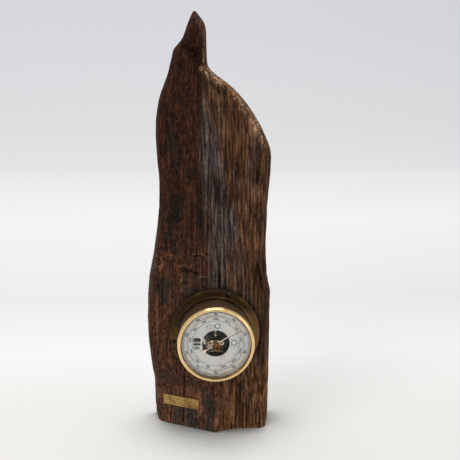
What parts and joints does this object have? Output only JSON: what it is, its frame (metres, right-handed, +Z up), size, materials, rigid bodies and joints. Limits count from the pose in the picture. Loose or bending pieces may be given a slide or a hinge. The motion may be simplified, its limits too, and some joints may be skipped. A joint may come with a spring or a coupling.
{
  "type": "aneroid barometer on a timber slab",
  "caption": "Aneroid barometer in a round brass case with a set hand, screwed to a tall standing slab of weathered timber.",
  "frame": {"origin": "middle of the sawn foot, straight below the instrument's axis", "axes": "+X to the right as seen from the front, -Y towards the viewer along the instrument's axis, +Z up"},
  "size_m": [0.1779, 0.154, 0.604],
  "materials": {
    "weathered_timber": "weathered oak, dark, open grain",
    "plaque_brass": "lacquered brass sheet",
    "case_brass": "spun brass with a dark patina",
    "screw_dark": "darkened round-head screws",
    "bezel_brass": "polished brass",
    "clear_glass": "flat clear glass",
    "dial_silver": "silvered dial with black print",
    "movement_brass": "bright brass",
    "movement_dark": "blackened steel plate",
    "movement_steel": "bright steel",
    "lever_bright": "polished strip",
    "hand_dark": "blued steel",
    "hand_brass": "polished brass",
    "knob_brass": "polished brass",
    "washer_fibre": "fibre washer"
  },
  "bodies": {
    "stand": {"board": "weathered_timber", "plaque": "plaque_brass", "flange": "case_brass", "case_drum": "case_brass", "flange_screws": "screw_dark", "bezel": "bezel_brass", "glass_ring": "bezel_brass", "dial_ring": "bezel_brass", "glass": "clear_glass", "dial": "dial_silver", "dial_feet": "movement_brass", "plate_pillars": "movement_brass", "capsule": "movement_brass", "shaft_posts": "movement_brass", "arbor_bridge": "movement_brass", "bridge_screws": "movement_brass", "hairspring_stud": "movement_brass", "chain": "movement_brass", "base_plate": "movement_dark", "top_plate": "movement_dark", "movement_bushes": "movement_steel", "movement_screws": "movement_steel", "mainspring": "movement_steel", "hairspring": "movement_steel", "knob_washer": "washer_fibre"},
    "pointer": {"arbor": "movement_steel", "pressure_hand": "hand_dark"},
    "rocker": {"rocking_shaft": "movement_steel"},
    "lever_arm": {"lever": "lever_bright", "post_pin": "movement_steel"},
    "set_pointer": {"set_hand": "hand_brass", "knob": "knob_brass"},
    "setting_screw": {"adjusting_screw": "movement_brass"}
  },
  "joints": [
    {"name": "pressure_turn", "type": "hinge", "parent": "stand", "child": "pointer", "pos_m": [0, -0.0832, 0.152], "axis": [0, 1, 0], "range_deg": [-198, 72], "deforming": ["hairspring", "chain"]},
    {"name": "rocker_turn", "type": "hinge", "parent": "stand", "child": "rocker", "pos_m": [0, -0.0843, 0.1394], "axis": [1, 0, 0], "range_deg": [-10, 25]},
    {"name": "lever_turn", "type": "hinge", "parent": "stand", "child": "lever_arm", "pos_m": [-0.031, -0.0589, 0.152], "axis": [0, 0, 1], "range_deg": [-2.5, 1], "deforming": ["mainspring", "capsule"]},
    {"name": "set_hand_turn", "type": "hinge", "parent": "stand", "child": "set_pointer", "pos_m": [0, -0.094, 0.152], "axis": [0, 1, 0], "continuous": true},
    {"name": "adjusting_screw_turn", "type": "hinge", "parent": "stand", "child": "setting_screw", "pos_m": [-0.031, -0.0502, 0.152], "axis": [0, 1, 0], "range_deg": [-720, 720]}
  ],
  "couplings": [
    {"joint": "rocker_turn", "follows": "pressure_turn", "ratio": -0.12},
    {"joint": "lever_turn", "follows": "pressure_turn", "ratio": 0.01136}
  ]
}
